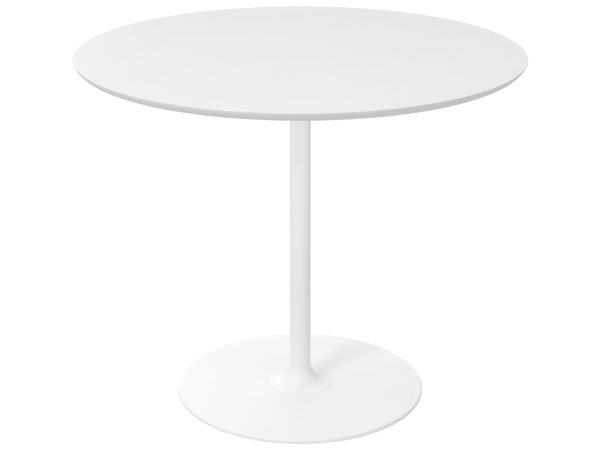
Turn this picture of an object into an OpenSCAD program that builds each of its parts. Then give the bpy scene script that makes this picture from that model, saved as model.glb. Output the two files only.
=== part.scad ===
// Round pedestal table: a round board on a slim flared column and a weighted round base.
// Everything stands on the floor plane z = 0, with the column's axis on the Z axis.

/* [Table top] */
// Height of the table, floor to top face
table_h = 750; // [720:1:760]
// Diameter of the top
top_d = 914; // [860:1:1000]
// Thickness of the top
top_t = 18; // [18:1:25]
// Height of the upright land just below the top face
edge_land = 1.5; // [1:0.5:3]
// How far the underside's edge lies inside the rim
edge_in = 16; // [12:1:20]
// Radius of the rounding from the land to the underside
edge_round = 28; // [24:1:40]

/* [Column] */
// Outer diameter of the column at its top
column_top_d = 42.4; // [38:0.2:43]
// Outer diameter of the column where the flare begins
column_low_d = 44.8; // [42.8:0.2:46]
// Wall thickness of the column and of the flared foot
column_wall = 2; // [1.5:0.1:2.5]

/* [Flared foot] */
// Diameter of the flare's rim
flare_d = 137; // [130:1:145]
// Radius of the hollow curve between column and flare
flare_round = 43; // [36:1:46]
// Slope of the flare's outer part, in degrees from level
flare_slope = 12; // [8:1:20]
// Height of the flare's upright rim
flare_rim_h = 0.6; // [0.5:0.1:2]
// Length of straight neck between the hollow curve and the column
neck_h = 6; // [4:1:10]

/* [Base] */
// Diameter of the base
base_d = 532; // [500:1:560]
// Gap between the floor and the base's rim
base_lift = 2; // [1.5:0.5:3]
// Height of the base's rim, up to where the dome begins
rim_h = 8; // [7:0.5:10]
// Radius of the rim's rounded upper edge
rim_round = 4; // [3:0.5:5]
// Rise of the dome from the rim to the seat of the flare
dome_rise = 5.6; // [4:0.1:7]
// Sheet thickness of the base cover
cover_t = 1.5; // [1:0.1:1.8]

/* [Levelling glides] */
// Number of glides, evenly spaced
glide_count = 4; // [4:1:4]
// Radius of the circle that the glides stand on
glide_circle_r = 215; // [195:1:225]
// Diameter of a glide's foot
glide_foot_d = 25; // [22:1:30]
// Thread diameter of a glide's stud
glide_stud_d = 8; // [8:1:8]

/* [Fixing of the top] */
// Diameter of the mounting plate
plate_d = 320; // [300:1:340]
// Thickness of the mounting plate
plate_t = 5; // [4:0.5:6]
// Number of bolts through the plate
bolt_count = 6; // [4:1:8]
// Radius of the bolt circle
bolt_circle_r = 140; // [130:1:145]
// Thread diameter of a bolt
bolt_d = 6; // [6:1:6]
// Length of a bolt under its head
bolt_l = 16; // [14:1:17]

/* [Tie rod] */
// Thread diameter of the rod
rod_d = 12; // [10:1:12]

/* [Hidden] */
$fn = 96;

// Gaps between pieces: a close fit, and plain clearance
fit = 0.05;
gap = 0.3;
// Extra depth that carries a cutter past a face
past = 1;

// Heights of the stack, from the top down
top_z = table_h - top_t;
plate_z = top_z - plate_t;
hub_h = 36;
hub_r = column_top_d / 2 - column_wall - fit;

// Base, from the floor up
base_r = base_d / 2;
rim_z = base_lift + rim_h;
dome_r = base_r - rim_round;
seat_r = 70;
seat_z = rim_z + dome_rise;
cover_hole_r = 36;
boss_r = cover_hole_r - 1;
boss_z = 22;
dome_steps = 10;
round_steps = 6;

// Gasket and flared foot
gasket_t = 0.3;
gasket_inset = 0.2;
gasket_w = 8;
flare_z = seat_z + gasket_t;
flare_r = flare_d / 2;
low_r = column_low_d / 2;
curve_x = low_r + flare_round;
curve_turn = 90 - flare_slope;
curve_end_x = curve_x - flare_round * cos(curve_turn);
curve_end_z = flare_z + flare_rim_h + (flare_r - curve_end_x) * tan(flare_slope);
curve_z = curve_end_z + flare_round * sin(curve_turn);
column_z = curve_z + neck_h;
foot_plate_t = 6;
foot_plate_r = flare_inner_r(boss_z + foot_plate_t) - fit;

// Tie rod and what it carries below the ballast's boss
rod_hole_r = rod_d / 2 + 0.5;
pocket_r = 16;
pocket_z = boss_z - 6;
rod_washer_t = 2.5;
rod_nut_h = 6;
rod_low_z = 4.2;
rod_top_z = plate_z - 4;

// Bolts of the top
washer_t = 1.6;
bolt_head_h = 3.3;
bolt_head_r = 5.25;
insert_r = 5;
insert_h = 12;
bolt_seat_z = plate_z - 2 * washer_t;

// Glides: a stud whose head turns inside a nylon foot
glide_foot_h = 3.2;
ballast_z = glide_foot_h + gap;
glide_head_r = 6;
glide_head_z = 0.65;
glide_head_h = 1.7;
glide_key_r = 2.3;
glide_top_z = 10.2;

// Half the width of a flat-sided socket, measured to its corners
function socket_r(across_flats) = across_flats / 2 / cos(30);

// Height of the base cover's outside on the dome, at radius r
function dome_z(r) = seat_z - dome_rise * pow((r - seat_r) / (dome_r - seat_r), 2);

// Points of the dome from the seat out to the rim, lowered by drop
function dome_points(drop) =
    [for (i = [0 : dome_steps])
        let (r = seat_r + (dome_r - seat_r) * i / dome_steps)
        [r, dome_z(r) - drop]];

// Points of the rim's rounding, shrunk inwards by t
function rim_points(t) =
    [for (i = [1 : round_steps])
        let (a = 90 * (1 - i / round_steps))
        [dome_r + (rim_round - t) * cos(a), rim_z - rim_round + (rim_round - t) * sin(a)]];

// Inner radius of the flared foot at height z, on its hollow curve
function flare_inner_r(z) = curve_x - sqrt(pow(flare_round + column_wall, 2) - pow(curve_z - z, 2));

// Places count copies of the children on a circle of radius r
module on_circle(count, r, first = 0) {
    for (i = [0 : count - 1])
        rotate(first + 360 * i / count)
            translate([r, 0, 0])
                children();
}

// Flat ring standing at height z
module ring(outer_r, inner_r, h, z) {
    translate([0, 0, z])
        difference() {
            cylinder(r = outer_r, h = h);
            translate([0, 0, -past])
                cylinder(r = inner_r, h = h + 2 * past);
        }
}

// Split ring of spring steel, pressed flat, standing at height z
module split_ring(outer_r, inner_r, h, z) {
    slot_w = h * 0.4;
    difference() {
        ring(outer_r, inner_r, h, z);
        translate([(outer_r + inner_r) / 2, 0, z + h / 2])
            rotate([20, 0, 0])
                cube([outer_r, slot_w, 3 * h], center = true);
    }
}

// Outline of the underside's rounded edge: an arc from the land down to the underside
module top_edge_outline() {
    top_r = top_d / 2;
    drop = top_t - edge_land;
    chord = norm([edge_in, drop]);
    reach = sqrt(edge_round * edge_round - chord * chord / 4);
    centre_x = top_r - edge_in / 2 - reach * drop / chord;
    centre_z = drop / 2 + reach * edge_in / chord;
    square([top_r - edge_in, top_t]);
    intersection() {
        translate([centre_x, centre_z])
            circle(r = edge_round);
        translate([top_r - 2 * edge_in, 0])
            square([2 * edge_in, drop]);
    }
    translate([top_r - 2 * edge_in, drop])
        square([2 * edge_in, edge_land]);
}

// Round board with blind holes for the inserts
module table_top() {
    color("white")
        difference() {
            translate([0, 0, top_z])
                rotate_extrude()
                    top_edge_outline();
            translate([0, 0, top_z - past])
                on_circle(bolt_count, bolt_circle_r)
                    cylinder(r = insert_r + fit, h = insert_h + past + 1);
        }
}

// Threaded inserts, one for each bolt, flush with the board's underside
module threaded_inserts() {
    color("darkgoldenrod")
        on_circle(bolt_count, bolt_circle_r)
            ring(insert_r, bolt_d / 2 + fit, insert_h, top_z);
}

// Round steel plate that carries the board
module mounting_plate() {
    color("white")
        difference() {
            translate([0, 0, plate_z])
                cylinder(r = plate_d / 2, h = plate_t);
            on_circle(bolt_count, bolt_circle_r)
                translate([0, 0, plate_z - past])
                    cylinder(r = bolt_d / 2 + gap, h = plate_t + 2 * past);
        }
}

// One button-head bolt, pointing up, its head's seat at z = 0
module button_bolt() {
    cap_r = 8;
    difference() {
        union() {
            cylinder(d = bolt_d, h = bolt_l - 1);
            translate([0, 0, bolt_l - 1])
                cylinder(d1 = bolt_d, d2 = bolt_d - 2, h = 1);
            intersection() {
                translate([0, 0, -bolt_head_h])
                    cylinder(r = bolt_head_r, h = bolt_head_h);
                translate([0, 0, cap_r - bolt_head_h])
                    sphere(r = cap_r);
            }
        }
        translate([0, 0, -bolt_head_h - past])
            cylinder(r = socket_r(4), h = 2.2 + past, $fn = 6);
    }
}

module mounting_bolts() {
    color("silver")
        on_circle(bolt_count, bolt_circle_r)
            translate([0, 0, bolt_seat_z])
                button_bolt();
}

module bolt_spring_washers() {
    color("gray")
        on_circle(bolt_count, bolt_circle_r)
            split_ring(bolt_d / 2 + 2.5, bolt_d / 2 + 0.1, washer_t, bolt_seat_z);
}

module bolt_flat_washers() {
    color("silver")
        on_circle(bolt_count, bolt_circle_r)
            ring(bolt_d, bolt_d / 2 + 0.2, washer_t, bolt_seat_z + washer_t);
}

// Plug in the column's top, tapped for the tie rod and welded to the plate
module top_hub() {
    color("gray")
        ring(hub_r, rod_d / 2 + fit, hub_h, plate_z - hub_h);
}

// Slightly tapered tube from the flare's neck to the mounting plate
module column_tube() {
    h = plate_z - column_z;
    color("white")
        translate([0, 0, column_z])
            difference() {
                cylinder(r1 = low_r, r2 = column_top_d / 2, h = h);
                cylinder(r1 = low_r - column_wall, r2 = column_top_d / 2 - column_wall, h = h);
            }
}

// Half outline of the flare, shrunk inwards by t all along its outside
module flare_outline(t) {
    end_x = curve_end_x - t * cos(curve_turn);
    end_z = curve_end_z - t * sin(curve_turn);
    line_z = end_z - (flare_r - end_x) * tan(flare_slope);
    foot_x = min(flare_r, flare_r - (flare_z - line_z) / tan(flare_slope));
    polygon([[0, flare_z],
             [foot_x, flare_z],
             [foot_x, max(flare_z, line_z)],
             [end_x, end_z],
             [0, end_z]]);
    difference() {
        translate([0, end_z])
            square([end_x, column_z - end_z]);
        translate([curve_x, curve_z])
            circle(r = flare_round + t);
        translate([low_r - t, curve_z])
            square([flare_round, column_z]);
    }
}

// Flared foot, welded to the column's lower end and ground flush with it
module trumpet_foot() {
    color("white")
        rotate_extrude()
            difference() {
                flare_outline(0);
                flare_outline(column_wall);
            }
}

// Disc welded inside the flare, which stands on the ballast's boss
module foot_plate() {
    color("gray")
        ring(foot_plate_r, rod_hole_r, foot_plate_t, boss_z);
}

// Thin ring between the flare's rim and the base cover
module foot_gasket() {
    rim_r = flare_r - gasket_inset;
    color("gainsboro")
        ring(rim_r, rim_r - gasket_w, gasket_t, seat_z);
}

// Long rod that clamps the column between the base and the hub
module tie_rod() {
    tip = 1.5;
    color("silver")
        translate([0, 0, rod_low_z]) {
            cylinder(d1 = rod_d - 2 * tip, d2 = rod_d, h = tip);
            translate([0, 0, tip])
                cylinder(d = rod_d, h = rod_top_z - rod_low_z - 2 * tip);
            translate([0, 0, rod_top_z - rod_low_z - tip])
                cylinder(d1 = rod_d, d2 = rod_d - 2 * tip, h = tip);
        }
}

// Thin hexagon nut on the rod's lower end
module rod_nut() {
    across_flats = rod_d + 6;
    color("silver")
        translate([0, 0, pocket_z - 2 * rod_washer_t - rod_nut_h])
            difference() {
                cylinder(r = socket_r(across_flats), h = rod_nut_h, $fn = 6);
                translate([0, 0, -past])
                    cylinder(d = rod_d + 2 * fit, h = rod_nut_h + 2 * past);
            }
}

module rod_spring_washer() {
    color("gray")
        split_ring(rod_d / 2 + 4, rod_d / 2 + 0.2, rod_washer_t, pocket_z - 2 * rod_washer_t);
}

module rod_washer() {
    color("silver")
        ring(pocket_r - 1, rod_hole_r, rod_washer_t, pocket_z - rod_washer_t);
}

// Pressed sheet cover: flat seat, shallow dome, rounded rim
module base_cover() {
    outside = concat([[cover_hole_r, seat_z]], dome_points(0), rim_points(0), [[base_r, base_lift]]);
    inside = concat([[cover_hole_r, seat_z - cover_t]], dome_points(cover_t), rim_points(cover_t),
                    [[base_r - cover_t, base_lift]]);
    color("white")
        rotate_extrude()
            polygon(concat(outside, [for (i = [len(inside) - 1 : -1 : 0]) inside[i]]));
}

// Cast iron disc that gives the base its weight, with a boss that the column stands on
module ballast_disc() {
    skin = cover_t + gap;
    outline = concat([[0, ballast_z], [0, boss_z], [boss_r, boss_z], [boss_r, seat_z - cover_t],
                      [seat_r, seat_z - cover_t]],
                     dome_points(skin), rim_points(skin), [[base_r - skin, ballast_z]]);
    color("dimgray")
        difference() {
            rotate_extrude()
                polygon(outline);
            cylinder(r = rod_hole_r, h = boss_z + past);
            cylinder(r = pocket_r, h = pocket_z);
            on_circle(glide_count, glide_circle_r, 45)
                cylinder(d = glide_stud_d + 2 * fit, h = boss_z);
        }
}

// Nylon foot: a low disc with a chamfered edge and a chamber for the stud's head
module glide_foot() {
    chamfer = 0.8;
    r = glide_foot_d / 2;
    difference() {
        union() {
            cylinder(r1 = r - chamfer, r2 = r, h = chamfer);
            translate([0, 0, chamfer])
                cylinder(r = r, h = glide_foot_h - chamfer);
        }
        translate([0, 0, glide_head_z - fit])
            cylinder(r = glide_head_r + fit, h = glide_head_h + 2 * fit);
        translate([0, 0, glide_head_z])
            cylinder(d = glide_stud_d + 2 * fit, h = glide_foot_h);
        translate([0, 0, -past])
            cylinder(r = glide_key_r, h = glide_foot_h);
    }
}

// Threaded stud with a flat head and a socket that a key reaches from below
module glide_stud() {
    tip = 1;
    r = glide_stud_d / 2;
    difference() {
        union() {
            translate([0, 0, glide_head_z])
                cylinder(r = glide_head_r, h = glide_head_h);
            translate([0, 0, glide_head_z])
                cylinder(r = r, h = glide_top_z - tip - glide_head_z);
            translate([0, 0, glide_top_z - tip])
                cylinder(r1 = r, r2 = r - tip, h = tip);
        }
        translate([0, 0, glide_head_z - past])
            cylinder(r = socket_r(3.5), h = 3.5 + past, $fn = 6);
    }
}

// Places one glide piece at its numbered position
module at_glide(number) {
    rotate(45 + 360 * (number - 1) / glide_count)
        translate([glide_circle_r, 0, 0])
            children();
}

module numbered_glide_foot(number) {
    color("whitesmoke")
        at_glide(number)
            glide_foot();
}

module numbered_glide_stud(number) {
    color("silver")
        at_glide(number)
            glide_stud();
}

table_top();
threaded_inserts();
mounting_plate();
mounting_bolts();
bolt_spring_washers();
bolt_flat_washers();
top_hub();
column_tube();
trumpet_foot();
foot_plate();
foot_gasket();
tie_rod();
rod_nut();
rod_spring_washer();
rod_washer();
base_cover();
ballast_disc();
numbered_glide_foot(1);  // glide_foot_1
numbered_glide_foot(2);  // glide_foot_2
numbered_glide_foot(3);  // glide_foot_3
numbered_glide_foot(4);  // glide_foot_4
numbered_glide_stud(1);  // glide_stud_1
numbered_glide_stud(2);  // glide_stud_2
numbered_glide_stud(3);  // glide_stud_3
numbered_glide_stud(4);  // glide_stud_4
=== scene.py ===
import math

import bmesh
import bpy
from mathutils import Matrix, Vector

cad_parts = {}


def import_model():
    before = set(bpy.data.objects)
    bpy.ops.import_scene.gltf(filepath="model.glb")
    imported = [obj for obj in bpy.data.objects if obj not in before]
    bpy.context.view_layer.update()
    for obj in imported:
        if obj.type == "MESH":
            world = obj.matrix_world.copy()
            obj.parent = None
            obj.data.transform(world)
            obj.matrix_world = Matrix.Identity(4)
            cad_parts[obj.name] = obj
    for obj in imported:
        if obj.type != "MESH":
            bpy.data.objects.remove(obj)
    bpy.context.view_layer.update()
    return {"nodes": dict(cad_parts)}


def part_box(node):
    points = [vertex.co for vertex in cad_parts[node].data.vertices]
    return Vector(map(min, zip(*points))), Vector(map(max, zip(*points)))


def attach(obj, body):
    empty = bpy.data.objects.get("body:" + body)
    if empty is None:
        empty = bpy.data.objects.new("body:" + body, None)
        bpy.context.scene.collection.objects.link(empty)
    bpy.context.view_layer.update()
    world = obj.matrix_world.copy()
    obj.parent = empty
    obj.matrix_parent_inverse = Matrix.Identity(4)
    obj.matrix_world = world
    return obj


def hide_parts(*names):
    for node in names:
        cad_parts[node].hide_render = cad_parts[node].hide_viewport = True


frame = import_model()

MM = 0.001
TAU = 2 * math.pi
DISC_SEGMENTS = 288
PLATE_SEGMENTS = 192
TUBE_SEGMENTS = 160
RING_SEGMENTS = 96
NUT_SEGMENTS = 72
PAD_SEGMENTS = 64
SMALL_SEGMENTS = 48
THREAD_SEGMENTS = 36
SHARP_ANGLE = math.radians(32)


# ---------------------------------------------------------------- places from the frame

def low_z(node):
    """Height of a node's lowest point."""
    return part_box(node)[0].z


def high_z(node):
    """Height of a node's highest point."""
    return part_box(node)[1].z


def radius_at(node, height):
    """Greatest distance from the Z axis among a node's vertices at that height."""
    points = [v.co for v in frame["nodes"][node].data.vertices]
    return max(math.hypot(p.x, p.y) for p in points if abs(p.z - height) < 0.05 * MM)


# ---------------------------------------------------------------- outlines

def arc(centre, radius, first, last, steps):
    """Points (r, z) along an arc, its angles in degrees."""
    angles = [math.radians(first + (last - first) * k / steps) for k in range(steps + 1)]
    return [(centre[0] + radius * math.cos(a), centre[1] + radius * math.sin(a)) for a in angles]


def rounded(corners, steps=4):
    """Closed outline from corners (r, z, rounding radius), each corner with its arc.
    A short support point on both sides of each arc keeps the flat faces flat."""
    outline = []
    for i, (r, z, size) in enumerate(corners):
        if size <= 0:
            outline.append((r, z))
            continue
        here = Vector((r, z))
        before = (Vector(corners[i - 1][:2]) - here).normalized()
        after = (Vector(corners[(i + 1) % len(corners)][:2]) - here).normalized()
        half = before.angle(after) / 2
        reach = size / math.tan(half)
        centre = here + (before + after).normalized() * (size / math.sin(half))
        start = here + before * reach - centre
        sweep = -start.angle_signed(here + after * reach - centre)
        support = 0.3 * size
        outline.append(tuple(here + before * (reach + support)))
        for k in range(steps + 1):
            a = math.atan2(start.y, start.x) + sweep * k / steps
            outline.append((centre.x + size * math.cos(a), centre.y + size * math.sin(a)))
        outline.append(tuple(here + after * (reach + support)))
    return outline


def box_section(inner, outer, low, high, size):
    """Rounded rectangular section of a ring."""
    return rounded([(inner, low, size), (outer, low, size), (outer, high, size), (inner, high, size)])


# ---------------------------------------------------------------- turned meshes

def hexagon(r, z, angle):
    """Takes half the width across flats and gives the hexagon's radius at that angle."""
    side = TAU / 6
    return r / math.cos((angle + side / 2) % side - side / 2)


def thread(pitch, depth, fade=0.0, low=0.0, high=1.0):
    """Right-hand thread cut into radius r, fading out towards heights low and high."""
    def shape(r, z, angle):
        phase = (z / pitch - angle / TAU) % 1
        wave = abs(2 * phase - 1)
        if fade > 0:
            wave *= max(0.0, min(1.0, (z - low) / fade, (high - z) / fade))
        return r - depth * wave
    return shape


def threaded_points(r, low, high, pitch, depth, rows_per_turn=8, fade=0.0):
    """Outline points for a threaded stretch of radius r, from low to high."""
    rows = max(2, round(abs(high - low) / pitch * rows_per_turn))
    shape = thread(pitch, depth, fade, min(low, high), max(low, high))
    return [(r, low + (high - low) * k / rows, shape) for k in range(rows + 1)]


def lathe_mesh(outline, segments, closed, centre=(0, 0)):
    """Vertices and faces of a turned shape. An outline point is (r, z) or (r, z, shape)."""
    verts, rings, faces = [], [], []
    for r, z, *shape in outline:
        if r < 1e-7:
            rings.append([len(verts)])
            verts.append((centre[0], centre[1], z))
            continue
        rings.append(range(len(verts), len(verts) + segments))
        for k in range(segments):
            a = TAU * k / segments
            reach = shape[0](r, z, a) if shape else r
            verts.append((centre[0] + reach * math.cos(a), centre[1] + reach * math.sin(a), z))
    pairs = list(zip(rings, rings[1:]))
    if closed:
        pairs.append((rings[-1], rings[0]))
    for a, b in pairs:
        for k in range(segments):
            m = (k + 1) % segments
            if len(a) == 1 and len(b) == 1:
                continue
            if len(a) == 1:
                faces.append((a[0], b[m], b[k]))
            elif len(b) == 1:
                faces.append((a[k], a[m], b[0]))
            else:
                faces.append((a[k], a[m], b[m], b[k]))
    return verts, faces


def mesh_object(name, parts):
    """One object from several (vertices, faces) parts, smooth with sharp arrises."""
    verts, faces = [], []
    for part_verts, part_faces in parts:
        faces += [tuple(i + len(verts) for i in f) for f in part_faces]
        verts += part_verts
    mesh = bpy.data.meshes.new(name)
    mesh.from_pydata(verts, [], faces)
    piece = bpy.data.objects.new(name, mesh)
    bpy.context.scene.collection.objects.link(piece)
    clean(piece)
    return piece


def clean(piece):
    """Merges doubled points, turns normals outwards and marks the sharp edges."""
    grid = bmesh.new()
    grid.from_mesh(piece.data)
    bmesh.ops.remove_doubles(grid, verts=grid.verts, dist=1e-6)
    bmesh.ops.recalc_face_normals(grid, faces=grid.faces)
    grid.to_mesh(piece.data)
    grid.free()
    piece.data.shade_smooth()
    piece.data.set_sharp_from_angle(angle=SHARP_ANGLE)


def turned(name, outline, segments=SMALL_SEGMENTS, closed=True, centres=((0, 0),)):
    """Turned piece, repeated as separate solids of one object at each centre."""
    return mesh_object(name, [lathe_mesh(outline, segments, closed, c) for c in centres])


def split_ring_mesh(inner, outer, low, high, centre=(0, 0), segments=56):
    """Spring washer: a flat ring with a slanted slot between its two square-cut ends."""
    slot, slant = 0.4 * (high - low), math.tan(math.radians(20))
    size = 0.08 * (high - low)
    section = box_section(inner, outer, low, high, size)
    middle_r, middle_z = (inner + outer) / 2, (low + high) / 2
    verts, faces = [], []
    for k in range(segments + 1):
        share = k / segments
        for r, z in section:
            start = (slot / 2 - (z - middle_z) * slant) / middle_r
            end = TAU - (slot / 2 + (z - middle_z) * slant) / middle_r
            a = start + (end - start) * share
            verts.append((centre[0] + r * math.cos(a), centre[1] + r * math.sin(a), z))
    n = len(section)
    for k in range(segments):
        for i in range(n):
            j = (i + 1) % n
            faces.append((k * n + i, k * n + j, (k + 1) * n + j, (k + 1) * n + i))
    faces.append(tuple(range(n)))
    faces.append(tuple(segments * n + i for i in range(n)))
    return verts, faces


def drill(piece, centres, radius, low, high, segments=SMALL_SEGMENTS):
    """Cuts round holes from low to high through or into a piece."""
    pin = [(0, low), (radius, low), (radius, high), (0, high)]
    cutter = turned("cutter", pin, segments, False, centres)
    cut = piece.modifiers.new("drill", "BOOLEAN")
    cut.object = cutter
    cut.solver = "EXACT"
    graph = bpy.context.evaluated_depsgraph_get()
    drilled = bpy.data.meshes.new_from_object(piece.evaluated_get(graph))
    piece.modifiers.clear()
    piece.data = drilled
    drilled.name = piece.name
    bpy.data.objects.remove(cutter)
    drilled.shade_smooth()
    drilled.set_sharp_from_angle(angle=SHARP_ANGLE)


def on_circle(count, radius, first=0.0):
    """Centres spaced evenly round the Z axis, the first at an angle in degrees."""
    angles = [math.radians(first) + TAU * k / count for k in range(count)]
    return [(radius * math.cos(a), radius * math.sin(a)) for a in angles]


# ---------------------------------------------------------------- materials

TOP_TONE = 0.77
TOP_ROUGH = 0.5
STEEL_TONE = 0.9
STEEL_ROUGH = 0.38
COVER_ROUGH = 0.55
NOISE_LOW, NOISE_HIGH = 0.3, 0.7


def new_material(name):
    """A material, its node tree and its Principled shader."""
    material = bpy.data.materials.new(name)
    material.use_nodes = True
    tree = material.node_tree
    return material, tree, tree.nodes["Principled BSDF"]


def own_place(tree):
    """The piece's own coordinates, which move with it."""
    return tree.nodes.new("ShaderNodeTexCoord").outputs["Object"]


def noise(tree, scale, detail=2.0, roughness=0.5):
    """Noise in the piece's own coordinates; scale is in waves per metre."""
    grain = tree.nodes.new("ShaderNodeTexNoise")
    grain.inputs["Scale"].default_value = scale
    grain.inputs["Detail"].default_value = detail
    grain.inputs["Roughness"].default_value = roughness
    tree.links.new(own_place(tree), grain.inputs["Vector"])
    return grain.outputs["Fac"]


def spread(tree, value, low, high):
    """Maps the usual range of a noise to low to high."""
    node = tree.nodes.new("ShaderNodeMapRange")
    node.inputs["From Min"].default_value = NOISE_LOW
    node.inputs["From Max"].default_value = NOISE_HIGH
    node.inputs["To Min"].default_value = low
    node.inputs["To Max"].default_value = high
    tree.links.new(value, node.inputs["Value"])
    return node.outputs["Result"]


def blend_colours(tree, value, first, second):
    """Colour that runs from first to second over the usual range of a noise."""
    ramp = tree.nodes.new("ShaderNodeValToRGB")
    ramp.color_ramp.elements[0].position = NOISE_LOW
    ramp.color_ramp.elements[1].position = NOISE_HIGH
    ramp.color_ramp.elements[0].color = (*first, 1)
    ramp.color_ramp.elements[1].color = (*second, 1)
    tree.links.new(value, ramp.inputs["Fac"])
    return ramp.outputs["Color"]


def bump(tree, value, depth, strength=1.0, under=None):
    """Bump of that depth in metres, laid over another bump if one is given."""
    node = tree.nodes.new("ShaderNodeBump")
    node.inputs["Distance"].default_value = depth
    node.inputs["Strength"].default_value = strength
    tree.links.new(value, node.inputs["Height"])
    if under is not None:
        tree.links.new(under, node.inputs["Normal"])
    return node.outputs["Normal"]


def grey(value, tint=0.0):
    """A grey, warmer by tint."""
    return (value + tint, value, value - tint)


def coated(name, tone, rough, waves, wave_depth, grain_depth, metal=0.0, tint=0.0, change=0.004):
    """Finish with a slight mottle in tone and gloss, a long wave and a fine grain.
    waves are per metre, and the grain is six times as fine; depths are in metres."""
    material, tree, shader = new_material(name)
    mottle = noise(tree, 9, 3)
    colour = blend_colours(tree, mottle, grey(tone - change, tint), grey(tone + change, tint))
    tree.links.new(colour, shader.inputs["Base Color"])
    gloss = spread(tree, noise(tree, 60, 4), rough - 0.03, rough + 0.03)
    tree.links.new(gloss, shader.inputs["Roughness"])
    peel = bump(tree, noise(tree, waves, 1), wave_depth)
    grain = bump(tree, noise(tree, 6 * waves, 2), grain_depth, under=peel)
    tree.links.new(grain, shader.inputs["Normal"])
    shader.inputs["Metallic"].default_value = metal
    return material


def white_lacquer():
    """Sprayed satin lacquer: almost flat, with a very fine tooth."""
    return coated("white_lacquer", TOP_TONE, TOP_ROUGH,
                  waves=140, wave_depth=0.006 * MM, grain_depth=0.002 * MM)


def powder_coat(name, rough):
    """Powder coat with its orange peel."""
    return coated(name, STEEL_TONE, rough, waves=420, wave_depth=0.012 * MM, grain_depth=0.0015 * MM)


def white_powder_coat():
    """Semi-gloss coat of the column, the flared foot and the plate."""
    return powder_coat("white_powder_coat", STEEL_ROUGH)


def satin_powder_coat():
    """The same coat on the base cover, duller where it is walked past and wiped."""
    return powder_coat("satin_powder_coat", COVER_ROUGH)


def white_rubber():
    """Matt rubber of the gasket."""
    return coated("white_rubber", tone=0.8, rough=0.62,
                  waves=900, wave_depth=0.01 * MM, grain_depth=0.004 * MM)


def nylon():
    """Moulded nylon, slightly translucent."""
    material = coated("nylon", tone=0.74, rough=0.48, tint=0.012,
                      waves=260, wave_depth=0.02 * MM, grain_depth=0.006 * MM)
    shader = material.node_tree.nodes["Principled BSDF"]
    shader.inputs["Subsurface Weight"].default_value = 0.15
    shader.inputs["Subsurface Radius"].default_value = (1.0, 0.9, 0.8)
    shader.inputs["Subsurface Scale"].default_value = 2 * MM
    return material


def zinc_plate():
    """Bright zinc with cloudy spangle and a cool cast."""
    return coated("zinc_plate", tone=0.66, rough=0.3, metal=1.0, tint=-0.01, change=0.05,
                  waves=700, wave_depth=0.008 * MM, grain_depth=0.003 * MM)


def spring_steel():
    """Dark oiled spring steel."""
    return coated("spring_steel", tone=0.2, rough=0.42, metal=1.0, tint=0.004, change=0.03,
                  waves=800, wave_depth=0.012 * MM, grain_depth=0.005 * MM)


def zinc_alloy():
    """Dull cast zinc of the inserts."""
    return coated("zinc_alloy", tone=0.52, rough=0.46, metal=1.0, tint=0.035, change=0.04,
                  waves=500, wave_depth=0.02 * MM, grain_depth=0.008 * MM)


def plain_steel():
    """Turned steel: fine rings round the axis, with a few stains."""
    material, tree, shader = new_material("plain_steel")
    stains = blend_colours(tree, noise(tree, 70, 4), grey(0.32, 0.006), grey(0.44))
    tree.links.new(stains, shader.inputs["Base Color"])
    tree.links.new(spread(tree, noise(tree, 300, 3), 0.3, 0.46), shader.inputs["Roughness"])
    shader.inputs["Metallic"].default_value = 1.0
    rings = tree.nodes.new("ShaderNodeTexWave")
    rings.wave_type = "RINGS"
    rings.rings_direction = "Z"
    rings.inputs["Scale"].default_value = 700
    rings.inputs["Distortion"].default_value = 0.6
    tree.links.new(own_place(tree), rings.inputs["Vector"])
    tree.links.new(bump(tree, rings.outputs["Fac"], 0.012 * MM), shader.inputs["Normal"])
    return material


def cast_iron():
    """Painted sand casting: coarse skin, small pits and rust where the paint is thin."""
    material, tree, shader = new_material("cast_iron")
    skin = noise(tree, 420, 6, 0.65)
    pits = tree.nodes.new("ShaderNodeTexVoronoi")
    pits.inputs["Scale"].default_value = 260
    tree.links.new(own_place(tree), pits.inputs["Vector"])
    rust = blend_colours(tree, noise(tree, 26, 8, 0.7), grey(0.045), grey(0.085, 0.012))
    tree.links.new(rust, shader.inputs["Base Color"])
    tree.links.new(spread(tree, skin, 0.5, 0.72), shader.inputs["Roughness"])
    coarse = bump(tree, pits.outputs["Distance"], 0.12 * MM, 0.6)
    tree.links.new(bump(tree, skin, 0.16 * MM, 0.8, coarse), shader.inputs["Normal"])
    return material


def fibreboard():
    """Raw fibreboard inside the drilled holes."""
    return coated("fibreboard", tone=0.36, rough=0.85, tint=0.1, change=0.05,
                  waves=900, wave_depth=0.12 * MM, grain_depth=0.03 * MM)


MAKERS = (white_lacquer, white_powder_coat, satin_powder_coat, white_rubber, nylon,
          zinc_plate, spring_steel, zinc_alloy, plain_steel, cast_iron)
MATERIALS = {maker.__name__: maker() for maker in MAKERS}


def place(piece, body, slot, *nodes):
    """Gives a piece its finish, its body and the CAD nodes that it stands for."""
    piece.data.materials.clear()
    piece.data.materials.append(MATERIALS[slot])
    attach(piece, body)
    if nodes:
        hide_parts(*nodes)
    return piece


# ---------------------------------------------------------------- table top

TOP_LOW, TOP_HIGH = low_z("table_top"), high_z("table_top")
TOP_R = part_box("table_top")[1].x
EDGE_LAND = 1.5 * MM
EDGE_IN = 16 * MM
EDGE_ROUND = 28 * MM
ARRIS = 0.6 * MM
BOLT_COUNT = 6
BOLT_CIRCLE_R = 140 * MM
BOLT_CENTRES = on_circle(BOLT_COUNT, BOLT_CIRCLE_R)
INSERT_R = 5 * MM
INSERT_H = 12 * MM
CLOSE_FIT = 0.05 * MM


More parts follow.
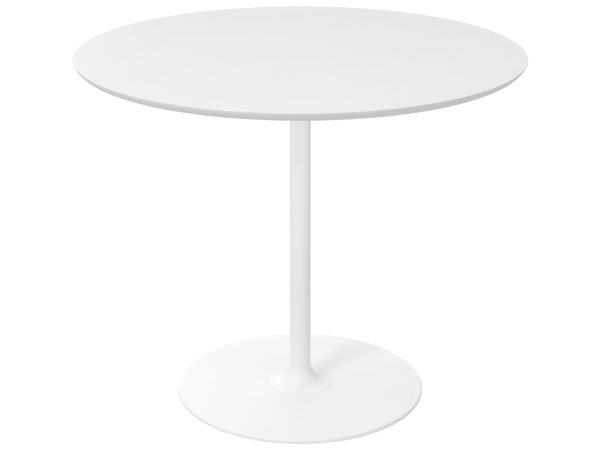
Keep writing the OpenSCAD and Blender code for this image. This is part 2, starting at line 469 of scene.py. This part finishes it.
def edge_arc():
    """Under-cut edge: an arc from the land below the top face in to the underside."""
    drop = TOP_HIGH - TOP_LOW - EDGE_LAND
    chord = math.hypot(EDGE_IN, drop)
    reach = math.sqrt(EDGE_ROUND ** 2 - chord ** 2 / 4)
    centre = (TOP_R - EDGE_IN / 2 - reach * drop / chord, TOP_LOW + drop / 2 + reach * EDGE_IN / chord)
    first = math.degrees(math.atan2(TOP_LOW + drop - centre[1], TOP_R - centre[0]))
    last = math.degrees(math.atan2(TOP_LOW - centre[1], TOP_R - EDGE_IN - centre[0]))
    return arc(centre, EDGE_ROUND, first, last, 20)


def table_top():
    """Board with a soft arris, the under-cut edge and a blind hole for each insert."""
    soft = arc((TOP_R - ARRIS, TOP_HIGH - ARRIS), ARRIS, 90, 0, 5)
    inner = [(r * TOP_R, TOP_HIGH) for r in (0, 0.35, 0.7, 0.95)]
    under = [(r, TOP_LOW) for r in (TOP_R - EDGE_IN - 1.5 * MM, 0.7 * TOP_R, 0.35 * TOP_R, 0)]
    outline = inner + [(TOP_R - 3 * ARRIS, TOP_HIGH)] + soft + edge_arc() + under
    piece = turned("table_top_board", outline, DISC_SEGMENTS, False)
    drill(piece, BOLT_CENTRES, INSERT_R + CLOSE_FIT, TOP_LOW - 2 * MM, TOP_LOW + INSERT_H + 1 * MM)
    place(piece, "table", "white_lacquer", "table_top")
    piece.data.materials.append(fibreboard())
    for face in piece.data.polygons:
        if inside_hole(face.center):
            face.material_index = 1


def inside_hole(point):
    """True for a point on the wall or the floor of an insert's blind hole."""
    if not TOP_LOW + 0.1 * MM < point.z < TOP_LOW + INSERT_H + 2 * MM:
        return False
    near = min(math.hypot(point.x - x, point.y - y) for x, y in BOLT_CENTRES)
    return near < INSERT_R + 0.2 * MM


# ---------------------------------------------------------------- fixing of the top

BOLT_R = 3 * MM
BOLT_PITCH = 1 * MM
BOLT_LENGTH = 16 * MM
HEAD_R = 5.25 * MM
HEAD_H = 3.3 * MM
HEAD_CAP_R = 8 * MM
SOCKET_HALF = 2 * MM
SOCKET_DEPTH = 2.2 * MM
PLATE_LOW, PLATE_HIGH = low_z("mounting_plate"), high_z("mounting_plate")
BOLT_SEAT = low_z("bolt_spring_washers")


def thread_depth(pitch):
    """Depth of a metric thread."""
    return 0.55 * pitch


def mounting_bolts():
    """Button-head bolts with a hexagon socket, pointing up."""
    face = BOLT_SEAT - HEAD_H
    mouth = SOCKET_HALF / math.cos(math.pi / 6) + 0.25 * MM
    cap_z = face + HEAD_CAP_R
    first = -90 + math.degrees(math.asin(mouth / HEAD_CAP_R))
    last = -90 + math.degrees(math.asin(HEAD_R / HEAD_CAP_R))
    cap = arc((0, cap_z), HEAD_CAP_R, first, last, 8)
    tip = BOLT_SEAT + BOLT_LENGTH
    socket = [(0, face + SOCKET_DEPTH + 0.5 * MM),
              (SOCKET_HALF, face + SOCKET_DEPTH, hexagon),
              (SOCKET_HALF, face + 0.35 * MM, hexagon)]
    rim = [(HEAD_R, cap[-1][1] + 0.15 * MM), (HEAD_R, BOLT_SEAT - 0.2 * MM),
           (HEAD_R - 0.2 * MM, BOLT_SEAT), (BOLT_R + 0.05 * MM, BOLT_SEAT)]
    shank = threaded_points(BOLT_R, BOLT_SEAT + 1.2 * MM, tip - 1 * MM, BOLT_PITCH,
                            thread_depth(BOLT_PITCH), fade=0.8 * MM)
    end = [(BOLT_R - 0.6 * MM, tip - 0.4 * MM), (BOLT_R - 1 * MM, tip), (0, tip)]
    outline = socket + cap + rim + [(BOLT_R, BOLT_SEAT + 0.05 * MM)] + shank + end
    piece = turned("button_head_bolts", outline, THREAD_SEGMENTS, False, BOLT_CENTRES)
    place(piece, "table", "zinc_plate", "mounting_bolts")


def bolt_washers():
    """Spring washer under each head and flat washer against the plate."""
    middle = high_z("bolt_spring_washers")
    bore, outer = BOLT_R + 0.1 * MM, BOLT_R + 2.5 * MM
    rings = [split_ring_mesh(bore, outer, BOLT_SEAT, middle, c) for c in BOLT_CENTRES]
    place(mesh_object("bolt_spring_rings", rings), "table", "spring_steel", "bolt_spring_washers")
    section = box_section(BOLT_R + 0.2 * MM, 2 * BOLT_R, middle, PLATE_LOW, 0.2 * MM)
    flat = turned("bolt_flat_rings", section, SMALL_SEGMENTS, True, BOLT_CENTRES)
    place(flat, "table", "zinc_plate", "bolt_flat_washers")


def threaded_inserts():
    """Inserts with a coarse outer thread and a bore that the bolts' thread fits."""
    bore = BOLT_R + CLOSE_FIT
    outer_pitch = 2.5 * MM
    low, high = TOP_LOW, TOP_LOW + INSERT_H
    edge = 0.5 * MM
    outside = threaded_points(INSERT_R, low + edge, high - edge, outer_pitch, 0.6 * MM, 10, fade=MM)
    inside = threaded_points(bore, high - edge, low + edge, BOLT_PITCH,
                             thread_depth(BOLT_PITCH), fade=0.8 * MM)
    outline = [(bore + edge, low), (INSERT_R - edge, low)] + outside
    outline += [(INSERT_R - edge, high), (bore + edge, high)] + inside
    sleeves = turned("insert_sleeves", outline, THREAD_SEGMENTS, True, BOLT_CENTRES)
    place(sleeves, "table", "zinc_alloy", "threaded_inserts")


def mounting_plate():
    """Steel plate with eased edges and a clearance hole for each bolt."""
    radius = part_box("mounting_plate")[1].x
    outline = [(0, PLATE_LOW), (0.4 * radius, PLATE_LOW), (radius - 2 * MM, PLATE_LOW)]
    outline += arc((radius - 0.8 * MM, PLATE_LOW + 0.8 * MM), 0.8 * MM, -90, 0, 5)
    outline += arc((radius - 0.5 * MM, PLATE_HIGH - 0.5 * MM), 0.5 * MM, 0, 90, 4)
    outline += [(radius - 2 * MM, PLATE_HIGH), (0.4 * radius, PLATE_HIGH), (0, PLATE_HIGH)]
    piece = turned("top_plate", outline, PLATE_SEGMENTS, False)
    drill(piece, BOLT_CENTRES, BOLT_R + 0.3 * MM, PLATE_LOW - MM, PLATE_HIGH + MM)
    place(piece, "table", "white_powder_coat", "mounting_plate")


# ---------------------------------------------------------------- column and flared foot

COLUMN_HIGH, COLUMN_LOW = high_z("column_tube"), low_z("column_tube")
COLUMN_TOP_R = radius_at("column_tube", COLUMN_HIGH)
COLUMN_LOW_R = radius_at("column_tube", COLUMN_LOW)
WALL = 2 * MM
ROD_R = 6 * MM
ROD_PITCH = 1.75 * MM
FLARE_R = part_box("trumpet_foot")[1].x
FLARE_LOW = low_z("trumpet_foot")
FLARE_ROUND = 43 * MM
FLARE_SLOPE = 12
FLARE_RIM = 0.6 * MM
RIM_SOFT = 0.4 * MM
WELD_LEG = 5 * MM
WELD_SCALES = 44


def column_tube():
    """Slightly tapered tube, its lower end flush with the flare's neck."""
    steps = 24
    share = [k / steps for k in range(steps + 1)]
    height = COLUMN_HIGH - COLUMN_LOW
    taper = COLUMN_TOP_R - COLUMN_LOW_R
    outside = [(COLUMN_LOW_R + taper * s, COLUMN_LOW + height * s) for s in share]
    inside = [(r - WALL, z) for r, z in reversed(outside)]
    place(turned("column_pipe", outside + inside, TUBE_SEGMENTS), "table", "white_powder_coat", "column_tube")


def trumpet_foot():
    """Flare: a hollow curve, a straight skirt and a low upright rim, of even wall."""
    turn = 90 - FLARE_SLOPE
    tangent = math.tan(math.radians(FLARE_SLOPE))
    lean = math.radians(turn)
    end_r = COLUMN_LOW_R + FLARE_ROUND * (1 - math.cos(lean))
    end_z = FLARE_LOW + FLARE_RIM + (FLARE_R - end_r) * tangent
    centre = (COLUMN_LOW_R + FLARE_ROUND, end_z + FLARE_ROUND * math.sin(lean))
    outside = [(COLUMN_LOW_R, COLUMN_LOW)] + arc(centre, FLARE_ROUND, 180, 180 + turn, 48)
    corner = [(end_r, end_z, 0), (FLARE_R, FLARE_LOW + FLARE_RIM, RIM_SOFT), (FLARE_R, FLARE_LOW, 0)]
    rim = rounded(corner, 5)[1:-1]
    inside = arc(centre, FLARE_ROUND + WALL, 180 + turn, 180, 24)
    inner_r, inner_z = inside[0]
    foot_r = inner_r + (inner_z - FLARE_LOW) / tangent
    outline = outside + rim + [(FLARE_R, FLARE_LOW), (foot_r, FLARE_LOW)] + inside
    outline.append((COLUMN_LOW_R - WALL, COLUMN_LOW))
    place(turned("flared_foot", outline, TUBE_SEGMENTS), "table", "white_powder_coat", "trumpet_foot")


def ripple(count, depth):
    """Overlapping scales round the axis."""
    def shape(r, z, angle):
        phase = (angle * count / TAU + z / WELD_LEG) % 1
        return r + depth * math.sqrt(1 - phase * phase)
    return shape


def weld_bead():
    """Fillet weld between column and mounting plate, rippled by the welder's steps."""
    root = COLUMN_TOP_R - 0.3 * MM
    slant = WELD_LEG / math.sqrt(2)
    bulge = arc((COLUMN_TOP_R, COLUMN_HIGH), slant * 1.12, -12, -78, 8)
    outline = [(root, COLUMN_HIGH), (COLUMN_TOP_R + WELD_LEG, COLUMN_HIGH)]
    outline += [(r, z, ripple(WELD_SCALES, 0.35 * MM)) for r, z in bulge]
    outline += [(COLUMN_TOP_R + 0.05 * MM, COLUMN_HIGH - WELD_LEG), (root, COLUMN_HIGH - WELD_LEG)]
    place(turned("weld_bead", outline, 8 * WELD_SCALES), "table", "white_powder_coat")


def top_hub():
    """Plug in the column's top, with the thread for the tie rod."""
    low, high = low_z("top_hub"), high_z("top_hub")
    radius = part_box("top_hub")[1].x
    bore = ROD_R + CLOSE_FIT
    edge = 1 * MM
    inside = threaded_points(bore, high - edge, low + edge, ROD_PITCH, thread_depth(ROD_PITCH), fade=MM)
    outline = [(bore + edge, low)] + [(radius - edge, low), (radius, low + edge), (radius, high - edge)]
    outline += [(radius - edge, high), (bore + edge, high)] + inside
    place(turned("hub_plug", outline, NUT_SEGMENTS), "table", "plain_steel", "top_hub")


def foot_plate():
    """Disc welded inside the flare; it stands on the ballast's boss."""
    low, high = low_z("foot_plate"), high_z("foot_plate")
    section = box_section(ROD_R + 0.5 * MM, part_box("foot_plate")[1].x, low, high, 0.6 * MM)
    place(turned("foot_disc", section, RING_SEGMENTS), "table", "plain_steel", "foot_plate")


def foot_gasket():
    """Thin ring between the flare and the base cover."""
    low, high = low_z("foot_gasket"), high_z("foot_gasket")
    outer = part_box("foot_gasket")[1].x
    section = box_section(outer - 8 * MM, outer, low, high, 0.1 * MM)
    place(turned("gasket_ring", section, TUBE_SEGMENTS), "table", "white_rubber", "foot_gasket")


# ---------------------------------------------------------------- tie rod

ROD_LOW, ROD_HIGH = low_z("tie_rod"), high_z("tie_rod")
NUT_HALF = 9 * MM


def tie_rod():
    """Long rod with a plain middle and a rolled thread at both ends."""
    tip = 1.5 * MM
    depth = thread_depth(ROD_PITCH)
    low_thread = threaded_points(ROD_R, ROD_LOW + tip, ROD_LOW + 36 * MM, ROD_PITCH, depth, fade=MM)
    high_thread = threaded_points(ROD_R, ROD_HIGH - 46 * MM, ROD_HIGH - tip, ROD_PITCH, depth, fade=MM)
    outline = [(0, ROD_LOW), (ROD_R - tip, ROD_LOW)] + low_thread + high_thread
    outline += [(ROD_R - tip, ROD_HIGH), (0, ROD_HIGH)]
    place(turned("clamp_rod", outline, THREAD_SEGMENTS, False), "table", "zinc_plate", "tie_rod")


def chamfered_hexagon(low, high):
    """Hexagon whose corners are turned off at both ends, as on a nut."""
    def shape(r, z, angle):
        corner = hexagon(NUT_HALF, z, angle)
        rise = min(z - low, high - z)
        return min(corner, r + rise / math.tan(math.radians(30)))
    return shape


def rod_nut():
    """Thin hexagon nut on the rod's lower end, with its thread."""
    low, high = low_z("rod_nut"), high_z("rod_nut")
    shape = chamfered_hexagon(low, high)
    face_r = NUT_HALF - 0.3 * MM
    bore = ROD_R + CLOSE_FIT
    edge = 0.7 * MM
    steps = 16
    outside = [(face_r, low + (high - low) * (1 - math.cos(math.pi * k / steps)) / 2, shape)
               for k in range(steps + 1)]
    inside = threaded_points(bore, high - edge, low + edge, ROD_PITCH, thread_depth(ROD_PITCH), fade=MM)
    outline = [(bore + edge, low)] + outside + [(bore + edge, high)] + inside
    place(turned("thin_nut", outline, NUT_SEGMENTS), "table", "zinc_plate", "rod_nut")


def rod_washers():
    """Spring washer on the nut, and flat washer between it and the ballast."""
    low, high = low_z("rod_spring_washer"), high_z("rod_spring_washer")
    ring = split_ring_mesh(ROD_R + 0.2 * MM, ROD_R + 4 * MM, low, high)
    place(mesh_object("rod_spring_ring", [ring]), "table", "spring_steel", "rod_spring_washer")
    section = box_section(ROD_R + 0.5 * MM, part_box("rod_washer")[1].x, high, high_z("rod_washer"), 0.3 * MM)
    place(turned("rod_flat_ring", section, PAD_SEGMENTS), "table", "zinc_plate", "rod_washer")


# ---------------------------------------------------------------- base

BASE_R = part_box("base_cover")[1].x
BASE_LOW, SEAT_Z = low_z("base_cover"), high_z("base_cover")
RIM_Z = BASE_LOW + 8 * MM
RIM_ROUND = 4 * MM
DOME_R = BASE_R - RIM_ROUND
SEAT_R = 70 * MM
COVER_HOLE_R = 36 * MM
COVER_WALL = 1.5 * MM
GLIDE_COUNT = 4
GLIDE_CIRCLE_R = 215 * MM
GLIDE_CENTRES = on_circle(GLIDE_COUNT, GLIDE_CIRCLE_R, 45)
STUD_R = 4 * MM


def dome(drop, steps):
    """Shallow dome from the seat out to the rim, lowered by drop."""
    radii = [SEAT_R + (DOME_R - SEAT_R) * k / steps for k in range(steps + 1)]
    rise = SEAT_Z - RIM_Z
    return [(r, SEAT_Z - rise * ((r - SEAT_R) / (DOME_R - SEAT_R)) ** 2 - drop) for r in radii]


def rim_arc(inset, steps):
    """Rounded upper edge of the rim, shrunk inwards by inset."""
    return arc((DOME_R, RIM_Z - RIM_ROUND), RIM_ROUND - inset, 87, 0, steps)


def base_cover():
    """Pressed sheet cover: flat seat, shallow dome, rounded rim, even wall."""
    ease = 0.3 * MM
    outside = [(COVER_HOLE_R + ease, SEAT_Z), (0.8 * SEAT_R, SEAT_Z)] + dome(0, 40) + rim_arc(0, 12)
    outside += [(BASE_R, BASE_LOW + ease), (BASE_R - ease, BASE_LOW)]
    inner_r = BASE_R - COVER_WALL
    inside = [(inner_r + ease, BASE_LOW), (inner_r, BASE_LOW + ease)]
    inside += rim_arc(COVER_WALL, 8)[::-1] + dome(COVER_WALL, 20)[::-1]
    inside += [(COVER_HOLE_R, SEAT_Z - COVER_WALL), (COVER_HOLE_R, SEAT_Z - ease)]
    piece = turned("cover_shell", outside + inside, DISC_SEGMENTS)
    place(piece, "table", "white_powder_coat", "base_cover")
    piece.data.materials[0] = MATERIALS["satin_powder_coat"]


def ballast_disc():
    """Iron casting with eased edges, a boss, a pocket for the nut and four tapped holes."""
    low, high = low_z("ballast_disc"), high_z("ballast_disc")
    skin = COVER_WALL + 0.3 * MM
    pocket_r, pocket_z = 16 * MM, high - 6 * MM
    boss_r, under_cover = COVER_HOLE_R - MM, SEAT_Z - COVER_WALL
    bore = ROD_R + 0.5 * MM
    ease = 0.8 * MM
    outline = rounded([(bore, pocket_z, 0), (pocket_r, pocket_z, ease), (pocket_r, low, ease)])
    outline += arc((BASE_R - skin - ease, low + ease), ease, -90, 0, 5)
    outline += rim_arc(skin, 8)[::-1] + dome(skin, 20)[::-1]
    outline += [(SEAT_R - MM, under_cover)]
    outline += rounded([(SEAT_R, under_cover, 0), (boss_r, under_cover, 0.5 * MM), (boss_r, high, ease),
                        (bore, high, 0)])[1:]
    piece = turned("ballast_casting", outline, PLATE_SEGMENTS)
    drill(piece, GLIDE_CENTRES, STUD_R + CLOSE_FIT, low - MM, high)
    place(piece, "table", "cast_iron", "ballast_disc")


# ---------------------------------------------------------------- levelling glides

FOOT_HIGH = high_z("glide_foot_1")
FOOT_R = 12.5 * MM
HEAD_LOW, HEAD_THICK = low_z("glide_stud_1"), 1.7 * MM
STUD_HEAD_R = 6 * MM
STUD_PITCH = 1.25 * MM
KEY_R = 2.3 * MM
KEY_HALF = 1.75 * MM
KEY_DEPTH = 3.5 * MM


def glide_foot(number, centre):
    """Nylon foot with a chamber for the stud's head and a hole for the key."""
    top = FOOT_HIGH
    chamber_r, chamber_low = STUD_HEAD_R + CLOSE_FIT, HEAD_LOW - CLOSE_FIT
    chamber_high = HEAD_LOW + HEAD_THICK + CLOSE_FIT
    ease = 0.25 * MM
    outline = rounded([(KEY_R, 0, ease), (FOOT_R - 0.8 * MM, 0, ease), (FOOT_R, 0.8 * MM, ease),
                       (FOOT_R, top, 2 * ease), (STUD_R + CLOSE_FIT, top, ease),
                       (STUD_R + CLOSE_FIT, chamber_high, 0), (chamber_r, chamber_high, 0),
                       (chamber_r, chamber_low, 0), (KEY_R, chamber_low, 0)])
    piece = turned(f"glide_pad_{number}", outline, PAD_SEGMENTS, True, [centre])
    place(piece, f"glide_{number}_foot", "nylon", f"glide_foot_{number}")


def glide_stud(number, centre):
    """Threaded stud with a flat head and a hexagon socket that opens downwards."""
    high = high_z(f"glide_stud_{number}")
    head_high = HEAD_LOW + HEAD_THICK
    tip = 1 * MM
    ease = 0.2 * MM
    outline = [(0, HEAD_LOW + KEY_DEPTH + 0.5 * MM),
               (KEY_HALF, HEAD_LOW + KEY_DEPTH, hexagon), (KEY_HALF, HEAD_LOW, hexagon),
               (STUD_HEAD_R - ease, HEAD_LOW), (STUD_HEAD_R, HEAD_LOW + ease),
               (STUD_HEAD_R, head_high - ease), (STUD_HEAD_R - ease, head_high), (STUD_R, head_high)]
    outline += threaded_points(STUD_R, head_high + 0.3 * MM, high - tip, STUD_PITCH,
                               thread_depth(STUD_PITCH), fade=0.8 * MM)
    outline += [(STUD_R - tip, high), (0, high)]
    piece = turned(f"glide_screw_{number}", outline, THREAD_SEGMENTS, False, [centre])
    place(piece, f"glide_{number}_stud", "zinc_plate", f"glide_stud_{number}")


# ---------------------------------------------------------------- floor, light and camera

CAMERA_LENS = 90.0
CAMERA_PLACE = (-0.0006, -2.974, 1.4563)
CAMERA_DOWN = 19.93
FLOOR_R = 7.0
WALL_BEND = 3.0
WALL_HIGH = 9.0
FLOOR_TONE = 0.15
FLOOR_GLOW = 0.9
CARD_GLOW = 0.67
CARD_DROP = 5 * MM
CARD_R = 12.0
LOBE_POWER = 6.0
# World light: (azimuth, elevation, strength), azimuth from +X towards +Y, in degrees
LOBES = ((90, 5, 0.48), (270, 5, 0.43), (315, 5, 0.64),
         (45, 45, 0.5), (90, 45, 1.24), (180, 45, 1.62), (315, 45, 1.12))
# Soft boxes: name, place, aim, size, power in watts, spread of the beam in degrees
SOFT_BOXES = (("key_box", (-2.0, -2.6, 2.6), (0, 0, 0.4), 1.2, 47.6, 180),
              ("rear_left_box", (-1.07, 2.65, 0.93), (0, 0, 0.03), 0.5, 3.6, 180),
              ("low_rear_left_box", (-1.7, 2.43, 0.42), (0, 0, 0.03), 0.6, 2.8, 180),
              ("front_snoot", (-0.5, -1.4, 0.05), (0, 0, 0.57), 0.3, 0.09, 23),
              ("left_snoot", (-1.5, 0, 0.05), (0, 0, 0.57), 0.3, 0.095, 20),
              ("right_snoot", (0.75, -1.3, 0.05), (0, 0, 0.57), 0.3, 0.075, 23))


def camera():
    """Camera at the photograph's angle."""
    data = bpy.data.cameras.new("camera")
    data.lens = CAMERA_LENS
    data.clip_end = 60
    eye = bpy.data.objects.new("camera", data)
    bpy.context.scene.collection.objects.link(eye)
    eye.location = CAMERA_PLACE
    eye.rotation_euler = (math.radians(90 - CAMERA_DOWN), 0, 0)
    bpy.context.scene.camera = eye


def backdrop():
    """White floor that bends up into a wall. Only the camera sees it, from inside."""
    bend = arc((FLOOR_R, WALL_BEND), WALL_BEND, -90, 0, 16)
    flat = [(r, 0) for r in (0, 0.4, 1.2, 3)]
    outline = flat + bend + [(FLOOR_R + WALL_BEND, WALL_HIGH)]
    piece = turned("backdrop", outline, RING_SEGMENTS, False)
    material, tree, shader = new_material("backdrop")
    shader.inputs["Base Color"].default_value = (*grey(FLOOR_TONE), 1)
    shader.inputs["Roughness"].default_value = 0.9
    shader.inputs["Specular IOR Level"].default_value = 0.0
    shader.inputs["Emission Color"].default_value = (1, 1, 1, 1)
    shader.inputs["Emission Strength"].default_value = FLOOR_GLOW
    side = tree.nodes.new("ShaderNodeNewGeometry")
    clear = tree.nodes.new("ShaderNodeBsdfTransparent")
    mix = tree.nodes.new("ShaderNodeMixShader")
    tree.links.new(side.outputs["Backfacing"], mix.inputs["Fac"])
    tree.links.new(shader.outputs["BSDF"], mix.inputs[1])
    tree.links.new(clear.outputs["BSDF"], mix.inputs[2])
    tree.links.new(mix.outputs["Shader"], tree.nodes["Material Output"].inputs["Surface"])
    piece.data.materials.append(material)
    piece.visible_diffuse = False
    piece.visible_glossy = False
    piece.visible_shadow = False
    face_up(piece)


def face_up(piece):
    """Turns the floor's faces so that their fronts look up and inwards."""
    if piece.data.polygons[0].normal.z < 0:
        piece.data.flip_normals()


def grey_card():
    """Glowing sheet that lights the undersides in place of the floor, below the lowered glides."""
    outline = [(r, -CARD_DROP) for r in (0, CARD_R / 10, CARD_R)]
    piece = turned("grey_card", outline, RING_SEGMENTS, False)
    material, _, shader = new_material("grey_card")
    shader.inputs["Base Color"].default_value = (0, 0, 0, 1)
    shader.inputs["Specular IOR Level"].default_value = 0.0
    shader.inputs["Emission Color"].default_value = (1, 1, 1, 1)
    shader.inputs["Emission Strength"].default_value = CARD_GLOW
    piece.data.materials.append(material)
    piece.visible_camera = False


def direction(azimuth, elevation):
    """Unit vector for an azimuth and an elevation in degrees."""
    a, e = math.radians(azimuth), math.radians(elevation)
    return (math.cos(a) * math.cos(e), math.sin(a) * math.cos(e), math.sin(e))


def math_node(tree, operation, first, second):
    """Math node; each input is a socket or a number."""
    node = tree.nodes.new("ShaderNodeMath")
    node.operation = operation
    for socket, value in zip(node.inputs, (first, second)):
        if isinstance(value, (int, float)):
            socket.default_value = value
        else:
            tree.links.new(value, socket)
    return node.outputs["Value"]


def world():
    """Studio surround: a few broad soft lobes of light."""
    surround = bpy.data.worlds.new("studio")
    bpy.context.scene.world = surround
    surround.use_nodes = True
    tree = surround.node_tree
    sky = tree.nodes["Background"]
    sky.inputs["Color"].default_value = (1, 1, 1, 1)
    view = tree.nodes.new("ShaderNodeTexCoord").outputs["Generated"]
    total = 0.0
    for azimuth, elevation, strength in LOBES:
        dot = tree.nodes.new("ShaderNodeVectorMath")
        dot.operation = "DOT_PRODUCT"
        dot.inputs[1].default_value = direction(azimuth, elevation)
        tree.links.new(view, dot.inputs[0])
        facing = math_node(tree, "MAXIMUM", dot.outputs["Value"], 0.0)
        lobe = math_node(tree, "MULTIPLY", math_node(tree, "POWER", facing, LOBE_POWER), strength)
        total = math_node(tree, "ADD", lobe, total)
    tree.links.new(total, sky.inputs["Strength"])


def soft_box(name, where, aim, size, power, beam):
    """Square lamp that the camera doesn't see, turned to its aim."""
    data = bpy.data.lights.new(name, "AREA")
    data.shape = "SQUARE"
    data.size = size
    data.energy = power
    data.spread = math.radians(beam)
    lamp = bpy.data.objects.new(name, data)
    lamp.visible_camera = False
    bpy.context.scene.collection.objects.link(lamp)
    lamp.location = where
    lamp.rotation_euler = (Vector(aim) - Vector(where)).to_track_quat("-Z", "Y").to_euler()


# ---------------------------------------------------------------- build

bpy.context.scene.view_settings.view_transform = "Standard"
camera()
world()
for box in SOFT_BOXES:
    soft_box(*box)
backdrop()
grey_card()
for build in (table_top, threaded_inserts, mounting_plate, mounting_bolts, bolt_washers,
              column_tube, trumpet_foot, weld_bead, top_hub, foot_plate, foot_gasket,
              tie_rod, rod_nut, rod_washers, base_cover, ballast_disc):
    build()
for index, spot in enumerate(GLIDE_CENTRES):
    glide_foot(index + 1, spot)
    glide_stud(index + 1, spot)
